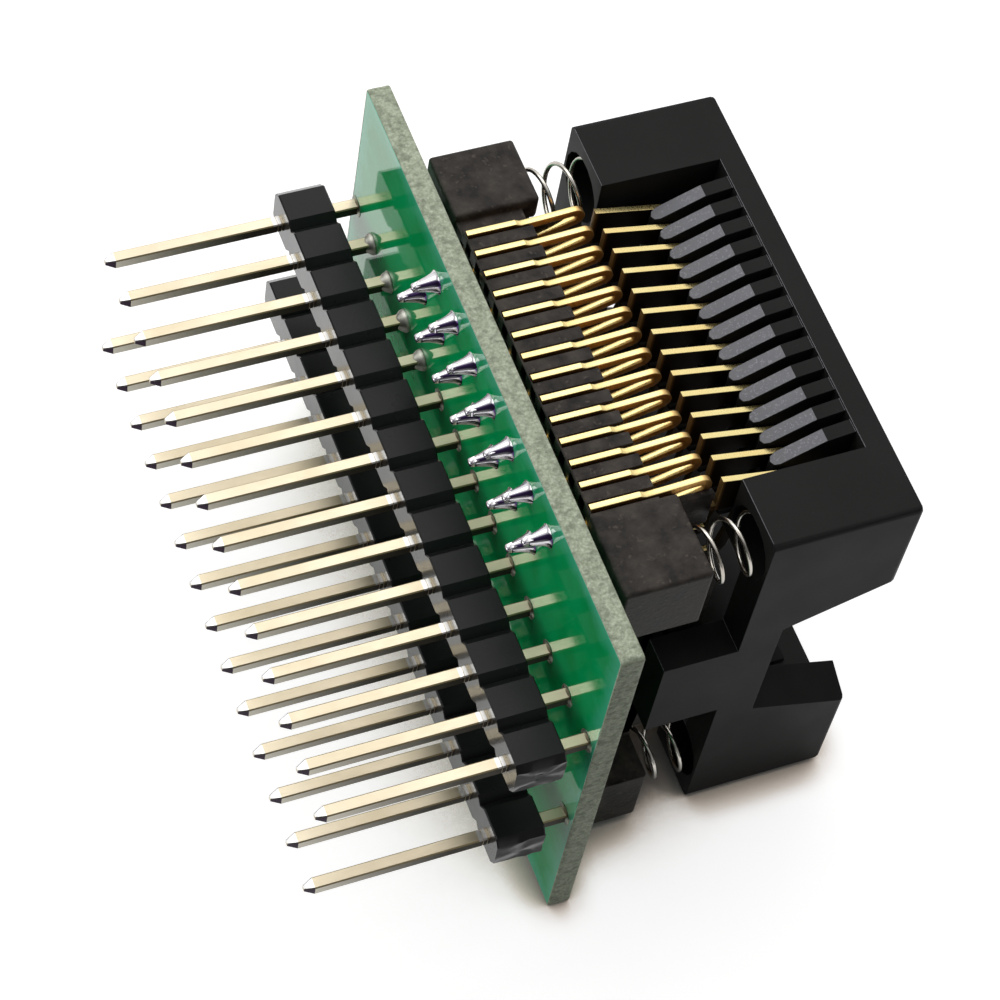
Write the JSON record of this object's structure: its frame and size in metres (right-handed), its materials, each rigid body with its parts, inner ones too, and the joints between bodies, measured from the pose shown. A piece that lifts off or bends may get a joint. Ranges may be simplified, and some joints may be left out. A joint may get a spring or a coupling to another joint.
{
  "type": "ic programming adapter",
  "caption": "Adapter board with a sprung open-top chip socket above and two rows of square pins below, for plugging a small-outline chip into a programmer.",
  "frame": {"origin": "centre of the plane of the pin tips, midway between the two pin rows and midway along them", "axes": "+X along the pin rows, +Y across them, +Z from the pin tips to the socket's cover"},
  "size_m": [0.0356, 0.0254, 0.0308],
  "materials": {
    "solder_mask": "glossy solder mask",
    "header": "moulded plastic",
    "base_plastic": "grainy moulded plastic",
    "cover_plastic": "fine matte moulded plastic",
    "gold_contact": "gold plated",
    "spring_steel": "drawn wire"
  },
  "bodies": {
    "adapter": {"pcb": "solder_mask", "pin_header_near": "header", "pin_header_far": "header", "socket_base": "base_plastic", "contact_near_01": "gold_contact", "contact_near_02": "gold_contact", "contact_near_03": "gold_contact", "contact_near_04": "gold_contact", "contact_near_05": "gold_contact", "contact_near_06": "gold_contact", "contact_near_07": "gold_contact", "contact_near_08": "gold_contact", "contact_near_09": "gold_contact", "contact_near_10": "gold_contact", "contact_near_11": "gold_contact", "contact_near_12": "gold_contact", "contact_near_13": "gold_contact", "contact_near_14": "gold_contact", "contact_far_01": "gold_contact", "contact_far_02": "gold_contact", "contact_far_03": "gold_contact", "contact_far_04": "gold_contact", "contact_far_05": "gold_contact", "contact_far_06": "gold_contact", "contact_far_07": "gold_contact", "contact_far_08": "gold_contact", "contact_far_09": "gold_contact", "contact_far_10": "gold_contact", "contact_far_11": "gold_contact", "contact_far_12": "gold_contact", "contact_far_13": "gold_contact", "contact_far_14": "gold_contact", "spring_near_left": "spring_steel", "spring_near_right": "spring_steel", "spring_far_left": "spring_steel", "spring_far_right": "spring_steel"},
    "cover": {"socket_cover": "cover_plastic"}
  },
  "joints": [
    {"name": "cover_slide", "type": "slide", "parent": "adapter", "child": "cover", "axis": [0, 0, -1], "range_m": [0, 0.0025], "stiffness_N_per_m": 2500, "springref_m": -0.0015, "deforming": ["spring_near_left", "spring_near_right", "spring_far_left", "spring_far_right", "contact_near_01", "contact_near_02", "contact_near_03", "contact_near_04", "contact_near_05", "contact_near_06", "contact_near_07", "contact_near_08", "contact_near_09", "contact_near_10", "contact_near_11", "contact_near_12", "contact_near_13", "contact_near_14", "contact_far_01", "contact_far_02", "contact_far_03", "contact_far_04", "contact_far_05", "contact_far_06", "contact_far_07", "contact_far_08", "contact_far_09", "contact_far_10", "contact_far_11", "contact_far_12", "contact_far_13", "contact_far_14"]}
  ]
}
